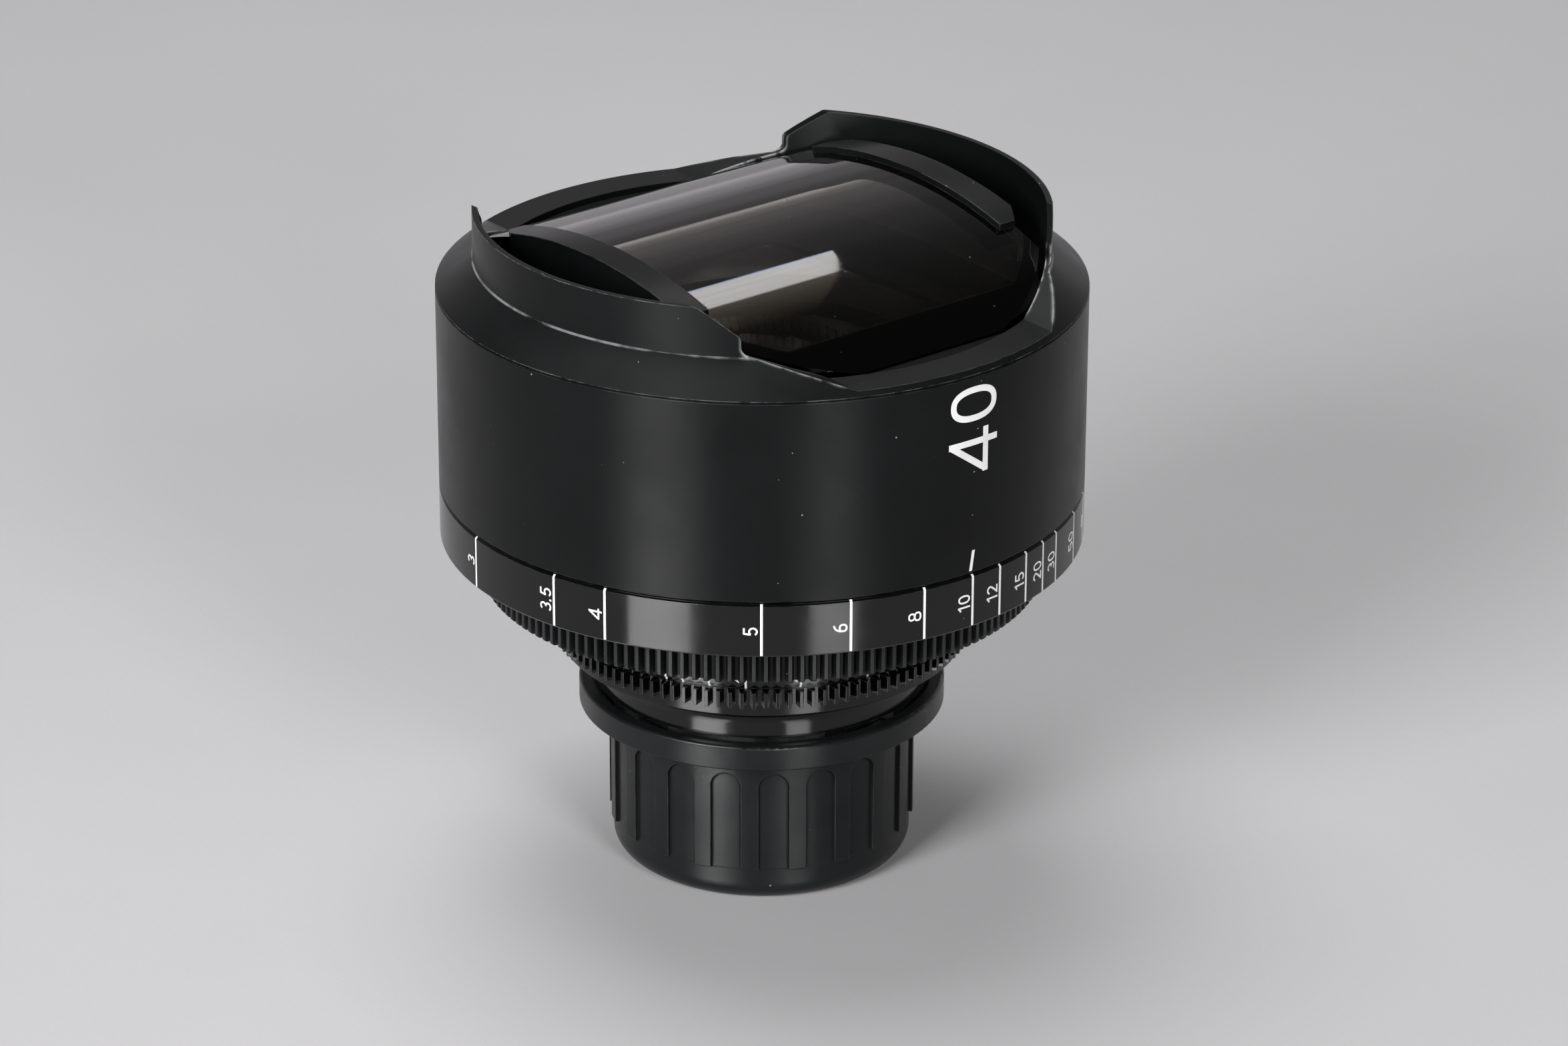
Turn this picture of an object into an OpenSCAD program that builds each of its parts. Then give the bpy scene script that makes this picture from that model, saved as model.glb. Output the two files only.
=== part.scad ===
// Cinema prime lens with a cylindrical front element, standing on its rear cap.
// Z is the optical axis with the front up; the origin is the middle of the cap's base.
// The front cylinder bends along X. Its rulings, the hood petals and the clamp bars lie along Y.
// The focus index and the marks set at rest face +X.

/* [Barrel and hood] */
// Outer radius of the barrel and the focus scale ring
barrel_r = 70; // [69:0.5:73]
// Length of the plain front barrel
barrel_h = 44.47; // [43:0.5:54]
// Wall of the front barrel
barrel_wall = 3.5; // [3:0.1:4]
// How far the petals stand in from the barrel
hood_inset = 8.1; // [7:0.1:9]
// Wall of the petals
petal_wall = 1.3; // [1:0.1:2]
// Height of the hood's cone
cone_h = 6.63; // [5:0.1:8]
// Height of the petals above the barrel
petal_h = 17.28; // [16:0.1:20]
// Half length of the level cut on each side of the hood
cut_half = 26.3; // [20:0.1:28]
// Slope of the cut beyond its level stretch, degrees
cut_slope = 21.6; // [15:0.1:23]
// Distance of a petal's upright edge from the middle
petal_edge = 42.2; // [40:0.1:44]

/* [Front glass] */
// Radius of the front cylinder surface
glass_rho = 113; // [108:1:125]
// Radius of the rear cylinder surface
glass_rear_rho = 75; // [72:1:80]
// Height of the glass above its seat
glass_h = 17.25; // [16.8:0.05:18]
// Thickness in the middle
glass_t = 6; // [5:0.1:8]
// Half width between the flats
glass_half = 55.8; // [55:0.1:56.2]
// How far each clamp bar's inner edge lies in from the glass's round edge
bar_set = 19.3; // [18:0.1:21]
// Half length of each clamp bar
bar_half = 31.5; // [28:0.5:34]

/* [Focus] */
// Wall of the focus gear from its bore to the tooth roots
gear_wall = 7.9; // [7.1:0.4:9.9]
// Height of the focus gear
gear_h = 10.25; // [9:0.25:12]
// Height of the focus scale ring
focus_ring_h = 11.95; // [11:0.05:14]
// Turn from the rest mark to the far stop, degrees
focus_far = 43; // [38:1:45]
// Turn from the rest mark to the near stop, degrees
focus_near = 120; // [100:1:124]
// Travel of the carriage over the whole turn
cam_rise = 8; // [6:0.25:8.5]
// Radius of a follower pin
follower_r = 2; // [1.6:0.1:2.2]
// Outer radius of the core tube
core_r = 48.5; // [46:0.1:50]

/* [Iris] */
// Wall of the iris ring behind its scale
iris_wall = 3.14; // [2.74:0.4:4.34]
// Height of the iris ring
iris_ring_h = 15.1; // [14.5:0.1:17]
// Turn of the iris ring from open to closed, degrees
iris_turn = 67; // [55:1:67]
// Turn of a blade from open to closed, degrees
blade_turn = 33.5; // [32:0.5:34]
// Number of blades
blade_n = 9; // [9:1:9]
// Radius of the open aperture
aperture_r = 20.2; // [19:0.1:20.4]

/* [Mount and rear cap] */
// Radius of the mount's stub, 54 mm across
stub_r = 27; // [26.5:0.1:27.2]
// Length of the stub behind the flange
stub_h = 16; // [14:0.5:18]
// Radius over the mount's lugs
lug_r = 35; // [34.5:0.1:35.4]
// Thickness of the mount's flange
flange_t = 3.9; // [3.6:0.1:5]
// Height of the glossy neck under the iris ring
neck_h = 8.1; // [7.5:0.1:10]
// Radius of the neck
neck_r = 37; // [36.5:0.1:38]
// Wall of the cap's body over its grip ribs
cap_wall = 3.1; // [2.9:0.1:4.4]
// Wall of the cap's lip around the mount's lugs
lip_wall = 5.2; // [4.5:0.1:7]
// Height of the ledge inside the cap that the flange rests on
cap_seat_h = 37.4; // [36:0.2:42]
// Number of flutes around the cap
flute_n = 20; // [16:1:20]
// Width of a grip rib
rib_w = 3.9; // [3:0.1:5]

/* [Fits] */
// Gap between parts that turn past each other
ring_gap = 0.3; // [0.2:0.05:0.5]
// Radial clearance of a running fit
run_fit = 0.06; // [0.04:0.01:0.1]
// Radial clearance of a fixed seat
seat_fit = 0.05; // [0.04:0.01:0.1]
// Clearance round a screw
screw_fit = 0.1; // [0.05:0.05:0.15]

/* [Hidden] */
$fn = 96;
BIG = 400;
EPS = 1;
gear_module = 0.8;
black = [0.06, 0.06, 0.065];
steel = [0.62, 0.63, 0.65];
grey = [0.30, 0.30, 0.32];
glass = [0.55, 0.45, 0.35, 0.5];

// Heights from the cap's base up
seat_gap = 0.2;
cap_floor = 3;
cap_mouth_h = 3.6;
lip_h = 5.7;
shim_t = 0.3;
neck_base_t = 4;
core_flange_t = 4;
gear_step = 0.2;
washer_t = 0.25;
washer_gap = 0.05;
web_t = 3;
cell_h = 10;
cell_flange_t = 4;
glass_drop = 1.77;
ledge_h = 2;
mask_t = 2;
z_lip = cap_seat_h + cap_mouth_h;
z_flange = cap_seat_h + seat_gap;
z_shim = z_flange + flange_t;
z_neck = z_shim + shim_t;
z_land = z_neck + neck_h;
z_iris = z_land + ring_gap;
z_core = z_iris + iris_ring_h + ring_gap;
z_tube = z_core + core_flange_t;
z_gear = z_core + gear_step;
z_ring = z_gear + gear_h;
z_ring_top = z_ring + focus_ring_h;
z_barrel = z_ring_top + ring_gap;
z_hood = z_barrel + barrel_h;
z_seat = z_hood - glass_drop;
z_web = z_seat - cell_h;
z_core_top = z_web - web_t;
z_core_flange = z_core_top - core_flange_t;
z_cell_flange = z_web + cell_flange_t;
z_top = z_hood + petal_h;

// Radii of the front
bore_r = barrel_r - barrel_wall;
spigot_r = bore_r - seat_fit;
petal_r = barrel_r - hood_inset;
hood_r = petal_r - petal_wall;
glass_gap = 1.6;
cell_gap = 1;
cell_wall = 3.6;
glass_r = hood_r - glass_gap;
cell_r = hood_r - cell_gap;
web_r = cell_r - cell_wall;
edge_break = 0.3;
dial_break = 0.5;

// Front cut of the hood, in the plane of Y and Z
cut_rise = 1.23;
edge_h = 11;
slant = 45;
foot_round = 2.2;
edge_round = 2;
top_round = 1;
round_steps = 6;

// Front cell and clamp bars
bar_w = 7.2;
bar_rise = 1.5;
bar_foot = 2.7;
bar_corner = 5.6;
bar_fit = 0.05;
end_gap = 0.1;
bar_in = glass_r - bar_set;
bar_out = bar_in + bar_w;
bar_corner_r = cell_r - bar_corner;
glass_end = bar_out - bar_foot - end_gap;
z_glass_axis = z_seat + glass_h - glass_rho;
z_rear_axis = z_seat + glass_h - glass_t - glass_rear_rho;
cell_frame_x = 17;
cell_frame_y = 20;
mask_frame_x = 20;
mask_frame_y = 26;

// Core, carriage and cam
core_wall = 3.5;
sleeve_wall = 2.94;
ring_wall = 3.2;
ring_web_t = 3;
core_bore = core_r - core_wall;
sleeve_in = core_r + run_fit;
sleeve_out = sleeve_in + sleeve_wall;
z_sleeve = z_tube + washer_t + washer_gap;
z_sleeve_top = z_core_flange - washer_t - washer_gap;
carriage_r = core_bore - run_fit;
carriage_h = 26;
carriage_wall = 3.94;
carriage_lip = 3;
carriage_bore = carriage_r - carriage_wall;
cam_ratio = cam_rise / (focus_far + focus_near);
taking_h = 11.4;
carriage_gap = 0.9;
z_carriage = z_tube + taking_h + carriage_gap + cam_ratio * focus_far;
follower_up = 12;
z_follower = z_carriage + follower_up;
follower_stop_in = 0.2;
follower_stop_out = 0.3;
follower_in = carriage_bore + follower_stop_in;
follower_out = sleeve_out - follower_stop_out;
slot_fit = 0.05;
cam_fit = 0.15;
cam_steps = 44;
cam_end = (follower_r + cam_fit) / core_r * 180 / PI;
carriage_lens_t = 11;
carriage_retainer_t = 3;
groove_rho = 90;
groove_half = 33;
z_carriage_lens = z_carriage + carriage_lip;
z_carriage_ring = z_carriage_lens + carriage_lens_t;

// Gears
addendum = gear_module;
dedendum = 1.25 * gear_module;
tooth_tip_w = 0.72;
tooth_root_w = 1.84;
tooth_bevel = 0.5;
focus_teeth = round(2 * (sleeve_out + gear_wall + dedendum) / gear_module);
focus_tip_r = (focus_teeth + 2) * gear_module / 2;
focus_root_r = focus_tip_r - addendum - dedendum;
focus_collar_h = 1;
iris_gear_up = 2.8;
iris_gear_h = 3.6;
iris_groove_h = 0.7;
iris_groove_d = 0.5;

// Iris and rear barrel, from the open aperture outwards
blade_w = 6.8;
pivot_out = 2.5;
actuator_edge = 1;
actuator_w = 7.99;
iris_rim = 1.4;
land_wall = 3;
land_edge = 0.8;
neck_wall = 3;
iris_band_drop = 0.4;
blade_out = aperture_r + blade_w;
pivot_r = blade_out + pivot_out;
actuator_in = pivot_r - actuator_edge;
actuator_r = actuator_in + actuator_w;
iris_base_r = actuator_r + run_fit + iris_rim;
bay_r = iris_base_r + seat_fit;
land_r = bay_r + land_wall;
iris_teeth = round(2 * (land_r + run_fit + iris_wall + iris_band_drop + dedendum) / gear_module);
iris_tip_r = (iris_teeth + 2) * gear_module / 2;
iris_root_r = iris_tip_r - addendum - dedendum;
iris_band_r = iris_root_r - iris_band_drop;
rear_bore = neck_r - neck_wall;
neck_hole_r = 25;
blade_t = 0.2;
blade_pitch = 0.3;
blade_gap = 0.25;
iris_base_t = 1.2;
actuator_t = 2;
actuator_gap = 0.3;
cover_t = 1.5;
cover_h = 3;
stack_h = blade_pitch * (blade_n - 1) + blade_t;
z_cover = z_core - cover_h;
z_actuator = z_cover - actuator_gap - actuator_t;
z_blade = z_actuator - blade_gap - stack_h;
z_shelf = z_blade - blade_gap - iris_base_t;
peg_arm = 7;
peg_stop = 0.2;
peg_r = 0.5;
peg_fit = 0.05;
peg_slot_fit = 0.1;
ear_r = 1.2;
ear_lap = 2;
ear_low = 1.2;
ear_high = 1.4;
blade_from = -4;
blade_to = 125;
drive_r = 0.8;
drive_fit = 0.2;
drive_at = 180;
z_drive = z_actuator + actuator_t / 2;
drive_hold = 2;
drive_cover = 1.2;
drive_in = actuator_r - drive_hold;
drive_out = iris_band_r - drive_cover;
drive_margin = 2;
slot_steps = 30;

// Optics behind the iris and in the stub
rear_cell_h = 10;
rear_wall = 7;
rear_lip = 3;
stub_wall = 2.5;
stub_bore = stub_r - stub_wall;
guard_drop = 8.6;
guard_h = 21;
guard_step = 2;
guard_wall = 2.5;
guard_lip = 3;
taking_wall = 9;
clear_edge = 4;
retainer_t = 2;
guard_lens_t = 6;
guard_bow = 1.2;
taking_bow = 1.2;
taking_hollow = 0.8;
taking_lip = 3;
rear_bow = 1;
rear_hollow = 0.6;
rear_lens_r = rear_bore - rear_wall;
guard_r = stub_bore - guard_step;
guard_lens_r = guard_r - guard_wall;
taking_lens_r = core_bore - taking_wall;
core_hole_r = taking_lens_r - taking_lip;
z_guard = z_flange - stub_h - guard_drop;
z_guard_lens = z_guard + guard_lip;
z_guard_ring = z_guard_lens + guard_lens_t;
z_rear_cell = z_neck + neck_base_t;
z_rear_lens = z_rear_cell + rear_lip;
z_rear_top = z_rear_cell + rear_cell_h - retainer_t;
rear_split = (z_rear_lens + z_rear_top) / 2;
z_taking = z_tube + taking_lip;
z_taking_top = z_tube + taking_h - retainer_t;
taking_split = (z_taking + z_taking_top) / 2;

// Mount lugs and screws
notch_d = 3.5;
notch_deg = 32;
index_w = 3;
index_d = 3;
shim_w = 2.8;
mount_screw_out = 2.2;
mount_screw_r = stub_r + mount_screw_out;

// Screws: where they sit, head, shank and grip
head_sink = 0.1;
tip_stop = 0.5;
clamp_screw_in = 9.45;
clamp_head_up = 0.5;
clamp_head_h = 1.5;
clamp_head_r = 1.6;
clamp_shank_r = 0.8;
clamp_grip = 6;
frame_head_h = 2.4;
frame_head_r = 2.4;
frame_shank_r = 1.5;
core_head_h = 1.9;
core_head_r = 1.8;
core_shank_r = 0.9;
core_grip = 8;
gear_head_h = 2.4;
gear_head_r = 2.2;
gear_shank_r = 1.4;
mount_head_h = 1.5;
mount_head_r = 1.8;
mount_shank_r = 1;

// Rear cap
flute_d = 0.7;
flute_low = 8.2;
flute_band = 4;
flute_at = 1.6;
flute_ease = 0.05;
base_round = 4.5;
lip_top_round = 0.7;
lip_low_round = 0.3;
mouth_fit = 0.3;
mouth_flare = 2.2;
stub_gap = 3.6;
cap_bore = stub_r + stub_gap;
cap_r = cap_bore + cap_wall;
lip_r = lug_r + lip_wall;
z_lip_low = z_lip - lip_h;
z_flute_top = z_lip_low - flute_band;
cap_core_r = cap_r - flute_d;
foot_step = 0.15;
foot_r = cap_core_r - foot_step;
flute_w = 2 * PI * cap_r / flute_n - rib_w;

BLADES = [for (i = [1:blade_n]) str("iris_blade_", i)];
FIXED_NODES = ["outer_barrel", "front_hood", "front_cell", "front_glass", "clamp_bar_near", "clamp_bar_far",
    "clamp_screws", "cell_screws", "aperture_mask", "barrel_screws", "core_tube", "core_screws",
    "lower_washer", "upper_washer", "taking_cell", "taking_crown", "taking_flint", "taking_retainer",
    "iris_base", "iris_cover", "rear_barrel", "rear_cell", "rear_crown", "rear_flint", "rear_retainer",
    "mount_shim", "lens_mount", "mount_screws", "rear_guard", "rear_lens", "guard_retainer"];
MOVING_NODES = ["focus_ring", "focus_gear", "gear_screws", "cam_sleeve", "focus_carriage", "carriage_lens",
    "carriage_retainer", "follower_pins", "iris_ring", "iris_drive_pin", "iris_actuator", "rear_cap"];

// Shared shapes
module tube(r_in, r_out, z0, z1) {
    rotate_extrude() translate([r_in, z0]) square([r_out - r_in, z1 - z0]);
}

module disc(r, z0, z1) {
    translate([0, 0, min(z0, z1)]) cylinder(r = r, h = abs(z1 - z0));
}

module turned(points) {
    rotate_extrude() polygon(points);
}

module around(n, phase = 0) {
    for (i = [0:n - 1]) rotate([0, 0, phase + i * 360 / n]) children();
}

// A bar that runs along Y, square in section
module along_y(half_x, half_y, z0, z1) {
    translate([-half_x, -half_y, z0]) cube([2 * half_x, 2 * half_y, z1 - z0]);
}

// A round bar along Y, the shape of a cylinder lens
module roll(r, z) {
    translate([0, BIG / 2, z]) rotate([90, 0, 0]) cylinder(r = r, h = BIG, $fn = 256);
}

// A screw with its head at z_face, or with c above zero the hole that holds it
module screw(z_face, z_head, z_tip, head_r, shank_r, c) {
    way = z_face > z_head ? 1 : -1;
    disc(head_r + c, z_head, z_face + way * (c > 0 ? EPS : 0));
    disc(shank_r + c, z_tip - way * c, z_head + way * c);
}

// The part of a ball between a plane and the ball's top, bow high over a half width r
module bulge(r, z, bow) {
    rho = (r * r + bow * bow) / (2 * abs(bow));
    intersection() {
        translate([0, z + bow - sign(bow) * rho]) circle(rho, $fn = 360);
        translate([0, min(z, z + bow)]) square([r, abs(bow)]);
    }
}

// A round lens with flat seats; a bow above zero bulges and one below zero is hollow
module element(r, z0, z1, bow0, bow1) {
    clear = r - clear_edge;
    rotate_extrude() difference() {
        union() {
            translate([0, z0]) square([r, z1 - z0]);
            if (bow0 > 0) bulge(clear, z0, -bow0);
            if (bow1 > 0) bulge(clear, z1, bow1);
        }
        if (bow0 < 0) bulge(clear, z0, -bow0);
        if (bow1 < 0) bulge(clear, z1, bow1);
    }
}

function polar(r, a) = [r * cos(a), r * sin(a)];

function arc(c, r, a0, a1) = [for (i = [0:round_steps]) c + polar(r, a0 + (a1 - a0) * i / round_steps)];

// Outline of a straight-flanked gear
function gear_points(n, root_r, tip_r) =
    [for (i = [0:n - 1]) for (p = [[root_r, -tooth_root_w], [tip_r, -tooth_tip_w],
        [tip_r, tooth_tip_w], [root_r, tooth_root_w]]) polar(p[0], i * 360 / n + p[1] / p[0] * 90 / PI)];

// Front
module outer_barrel() color(black) difference() {
    union() {
        turned([[bore_r, z_barrel], [barrel_r - edge_break, z_barrel], [barrel_r, z_barrel + edge_break],
            [barrel_r, z_hood - edge_break], [barrel_r - edge_break, z_hood], [bore_r, z_hood]]);
        tube(web_r, bore_r + EPS, z_core_top, z_web);
    }
    barrel_screw_set(screw_fit);
    cell_screw_set(screw_fit);
}

// The cut's edge on the +Y side, from the level stretch to the petal's top
function cut_edge() =
    let (z0 = z_hood + cut_rise, zk = z_hood + edge_h, e = petal_edge, s = cut_slope, q = slant,
        zf = z0 + (e - foot_round - cut_half) * tan(s) + foot_round / cos(s),
        ze = zk + edge_round * (sin(q) - 1) / cos(q),
        yt = e + (top_round + (z_top - top_round - zk) * cos(q)) / sin(q))
    concat([[cut_half, z0]], arc([e - foot_round, zf], foot_round, s - 90, 0),
        arc([e + edge_round, ze], edge_round, 180, 90 + q),
        arc([yt, z_top - top_round], top_round, 90 + q, 90), [[yt, z_top + EPS]]);

module hood_cut() {
    edge = cut_edge();
    far = [for (i = [len(edge) - 1:-1:0]) [-edge[i][0], edge[i][1]]];
    rotate([90, 0, 90]) translate([0, 0, -BIG / 2]) linear_extrude(BIG) polygon(concat(edge, far));
}

module front_hood() color(black) difference() {
    turned([[hood_r, z_cell_flange], [spigot_r, z_cell_flange], [spigot_r, z_hood],
        [barrel_r - edge_break, z_hood], [barrel_r, z_hood + edge_break], [petal_r, z_hood + cone_h],
        [petal_r, z_top], [hood_r, z_top]]);
    hood_cut();
}

module front_cell() color(black) difference() {
    union() {
        disc(spigot_r, z_web, z_cell_flange);
        disc(cell_r, z_web, z_seat);
        difference() {
            disc(cell_r, z_seat - EPS, z_seat + ledge_h);
            along_y(glass_half + end_gap, BIG, z_seat, z_top);
        }
    }
    along_y(web_r - cell_frame_x, web_r - cell_frame_y, z_web - EPS, z_seat + EPS);
    cell_screw_set(screw_fit);
    clamp_screw_set(screw_fit);
}

module front_glass() color(glass) difference() {
    intersection() {
        disc(glass_r, z_seat, z_top);
        along_y(glass_half, glass_end, z_seat, z_top);
        roll(glass_rho, z_glass_axis);
    }
    roll(glass_rear_rho, z_rear_axis);
}

module clamp_bar() color(black) difference() {
    intersection() {
        roll(glass_rho + bar_rise, z_glass_axis);
        translate([-bar_half, bar_in, z_seat]) cube([2 * bar_half, bar_w, BIG]);
        disc(bar_corner_r, z_seat, z_top);
    }
    intersection() {
        roll(glass_rho + bar_fit, z_glass_axis);
        along_y(BIG, glass_end + end_gap, z_seat - EPS, z_top);
    }
    clamp_screw_set(screw_fit);
}

module clamp_bar_far() clamp_bar();
module clamp_bar_near() mirror([0, 1, 0]) clamp_bar();

module clamp_screw_set(c) {
    z = z_web + clamp_head_up;
    for (x = [-1, 1]) for (y = [-1, 1])
        translate([x * (bar_half - clamp_screw_in), y * (bar_out - bar_foot / 2), 0])
        screw(z, z + clamp_head_h, z_seat + clamp_grip, clamp_head_r, clamp_shank_r, c);
}

module clamp_screws() color(steel) clamp_screw_set(0);

module cell_screw_set(c) {
    z = z_cell_flange - head_sink;
    around(4, 45) translate([(cell_r + bore_r) / 2, 0, 0])
        screw(z, z - frame_head_h, z_core_top + tip_stop, frame_head_r, frame_shank_r, c);
}

module cell_screws() color(steel) cell_screw_set(0);

module aperture_mask() color(black) difference() {
    disc(web_r - seat_fit, z_core_top, z_core_top + mask_t);
    along_y(web_r - mask_frame_x, web_r - mask_frame_y, z_core_top - EPS, z_web);
}

module barrel_screw_set(c) {
    around(6) translate([(web_r + bore_r) / 2, 0, 0])
        screw(z_core_flange - frame_head_h, z_core_flange, z_web - tip_stop, frame_head_r, frame_shank_r, c);
}

module barrel_screws() color(steel) barrel_screw_set(0);

// Core and taking lens
module core_tube() color(grey) difference() {
    union() {
        tube(core_hole_r, core_r, z_core, z_tube);
        tube(core_bore, core_r, z_core, z_core_top);
        tube(core_bore, spigot_r, z_core_flange, z_core_top);
    }
    for (a = [90, 270]) rotate([0, 0, a]) follower_slot();
    barrel_screw_set(screw_fit);
    core_screw_set(screw_fit);
}

// Straight slot of the core that keeps a follower pin from turning
module follower_slot() {
    w = follower_r + slot_fit;
    low = z_follower - cam_ratio * focus_far;
    high = z_follower + cam_ratio * focus_near;
    translate([core_bore - EPS, -w, low]) cube([core_wall + 2 * EPS, 2 * w, high - low]);
    for (z = [low, high]) translate([core_bore - EPS, 0, z]) rotate([0, 90, 0])
        cylinder(r = w, h = core_wall + 2 * EPS);
}

module core_screw_set(c) {
    z = z_tube - head_sink;
    for (a = [-105, -35, 35, 105]) rotate([0, 0, a]) translate([land_r - land_wall / 2, 0, 0])
        screw(z, z - core_head_h, z_core - core_grip, core_head_r, core_shank_r, c);
}

module core_screws() color(steel) core_screw_set(0);

module lower_washer() color(steel) tube(sleeve_in, sleeve_out, z_tube, z_tube + washer_t);

module upper_washer() color(steel) tube(sleeve_in, sleeve_out, z_core_flange - washer_t, z_core_flange);

module taking_cell() color(black) difference() {
    disc(core_bore - seat_fit, z_tube, z_tube + taking_h);
    disc(taking_lens_r - taking_lip, z_tube - EPS, z_taking + EPS);
    disc(taking_lens_r, z_taking, z_tube + taking_h + EPS);
}

module taking_crown() color(glass)
    element(taking_lens_r, z_taking, taking_split, taking_bow, -taking_hollow);

module taking_flint() color(glass)
    element(taking_lens_r, taking_split, z_taking_top, -taking_hollow, taking_bow);

module taking_retainer() color(black)
    tube(taking_lens_r - clear_edge, taking_lens_r, z_taking_top, z_tube + taking_h);

// Focus ring and cam
module focus_ring() color(black) difference() {
    turned([[sleeve_out, z_ring], [barrel_r - edge_break, z_ring], [barrel_r, z_ring + edge_break],
        [barrel_r, z_ring_top - dial_break], [barrel_r - dial_break, z_ring_top],
        [barrel_r - ring_wall, z_ring_top], [barrel_r - ring_wall, z_ring + ring_web_t],
        [sleeve_out, z_ring + ring_web_t]]);
    gear_screw_set(screw_fit);
}

module focus_gear() color(black) difference() {
    union() {
        intersection() {
            translate([0, 0, z_gear]) linear_extrude(gear_h - focus_collar_h)
                polygon(gear_points(focus_teeth, focus_root_r, focus_tip_r));
            turned([[0, z_gear], [focus_tip_r - tooth_bevel, z_gear], [focus_tip_r + EPS,
                z_gear + tooth_bevel + EPS], [focus_tip_r + EPS, z_ring], [0, z_ring]]);
        }
        disc(focus_root_r - EPS, z_gear, z_ring);
    }
    disc(sleeve_out, z_gear - EPS, z_ring + EPS);
    gear_screw_set(screw_fit);
}

module gear_screw_set(c) {
    z = z_gear + head_sink;
    around(6, 30) translate([(sleeve_out + focus_root_r) / 2, 0, 0])
        screw(z, z + gear_head_h, z_ring + ring_web_t - tip_stop, gear_head_r, gear_shank_r, c);
}

module gear_screws() color(steel) gear_screw_set(0);

// Helical slot: the height of its middle falls as the angle grows, so a turn lifts the pin
module cam_slot(at) {
    h = follower_r + cam_fit;
    a0 = at - focus_near - cam_end;
    a1 = at + focus_far + cam_end;
    step = (a1 - a0) / cam_steps;
    ring = [[sleeve_in - EPS, -h], [sleeve_out + EPS, -h], [sleeve_out + EPS, h], [sleeve_in - EPS, h]];
    points = [for (i = [0:cam_steps]) for (p = ring)
        let (a = a0 + i * step) [p[0] * cos(a), p[0] * sin(a), z_follower + cam_ratio * (at - a) + p[1]]];
    last = 4 * cam_steps;
    sides = [[0, 1, 5, 4], [3, 7, 6, 2], [1, 2, 6, 5], [0, 4, 7, 3]];
    faces = concat([[0, 3, 2, 1], [last, last + 1, last + 2, last + 3]],
        [for (i = [0:cam_steps - 1]) for (s = sides) for (t = [[0, 1, 2], [0, 2, 3]])
            [for (k = t) s[k] + 4 * i]]);
    polyhedron(points, faces);
}

module cam_sleeve() color(steel) difference() {
    tube(sleeve_in, sleeve_out, z_sleeve, z_sleeve_top);
    cam_slot(90);
    cam_slot(270);
}

// Focus carriage, held from turning by its pins in the core's slots
module focus_carriage() color(grey) difference() {
    disc(carriage_r, z_carriage, z_carriage + carriage_h);
    disc(carriage_bore - carriage_lip, z_carriage - EPS, z_carriage + carriage_h);
    disc(carriage_bore, z_carriage_lens, z_carriage + carriage_h + EPS);
    follower_pair(0, carriage_bore - EPS, carriage_r + EPS);
}

module carriage_lens() color(glass) difference() {
    disc(carriage_bore, z_carriage_lens, z_carriage_ring);
    roll(groove_rho, z_carriage_ring + sqrt(groove_rho * groove_rho - groove_half * groove_half));
}

module carriage_retainer() color(black)
    tube(carriage_bore - carriage_lip, carriage_bore, z_carriage_ring, z_carriage_ring + carriage_retainer_t);

module follower_pair(c, r0, r1) {
    for (a = [90, 270]) rotate([0, 0, a]) translate([r0, 0, z_follower]) rotate([0, 90, 0])
        cylinder(r = follower_r + c, h = r1 - r0);
}

module follower_pins() color(steel) follower_pair(0, follower_in, follower_out);

// Iris
module iris_ring() color(black) difference() {
    union() {
        turned([[land_r + run_fit, z_iris], [iris_band_r - edge_break, z_iris],
            [iris_band_r, z_iris + edge_break], [iris_band_r, z_iris + iris_gear_up + iris_gear_h],
            [iris_band_r - iris_groove_d, z_iris + iris_gear_up + iris_gear_h],
            [iris_band_r - iris_groove_d, z_iris + iris_gear_up + iris_gear_h + iris_groove_h],
            [iris_band_r, z_iris + iris_gear_up + iris_gear_h + iris_groove_h],
            [iris_band_r, z_core - ring_gap], [land_r + run_fit, z_core - ring_gap]]);
        translate([0, 0, z_iris + iris_gear_up]) linear_extrude(iris_gear_h) difference() {
            polygon(gear_points(iris_teeth, iris_band_r - iris_band_drop, iris_tip_r));
            circle(land_r + EPS);
        }
    }
    drive_bar(land_r, drive_out);
}

module drive_bar(r0, r1, grow = 0) {
    rotate([0, 0, drive_at]) translate([r0, 0, z_drive]) rotate([0, 90, 0])
        cylinder(r = drive_r + grow, h = r1 - r0);
}

module iris_drive_pin() color(steel) drive_bar(drive_in, drive_out);

// Slot round the fixed walls that lets the drive pin through
module drive_slot() {
    h = drive_r + drive_fit;
    rotate([0, 0, drive_at - drive_margin]) rotate_extrude(angle = iris_turn + 2 * drive_margin)
        translate([actuator_r - EPS, z_drive - h]) square([land_r - actuator_r + 2 * EPS, 2 * h]);
}

// Where a blade's drive peg stands when the blade has turned by b
function peg_at(b) = [pivot_r + peg_arm * sin(b), -peg_arm * cos(b)];

function turn2(p, a) = [p[0] * cos(a) - p[1] * sin(a), p[0] * sin(a) + p[1] * cos(a)];

// The peg's path as the actuator sees it, with the ring turned by the fraction t
function peg_path(t) = turn2(peg_at(t * blade_turn), -t * iris_turn);

module peg_slot() {
    w = peg_r + peg_slot_fit;
    run = [for (i = [0:slot_steps]) peg_path(i / slot_steps)];
    way = [for (i = [0:slot_steps]) peg_path(min(1, (i + 0.5) / slot_steps))
        - peg_path(max(0, (i - 0.5) / slot_steps))];
    side = [for (i = [0:slot_steps]) [-way[i][1], way[i][0]] / norm(way[i]) * w];
    polygon(concat([for (i = [0:slot_steps]) run[i] + side[i]],
        [for (i = [slot_steps:-1:0]) run[i] - side[i]]));
    translate(run[0]) circle(w, $fn = 24);
    translate(run[slot_steps]) circle(w, $fn = 24);
}

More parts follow.
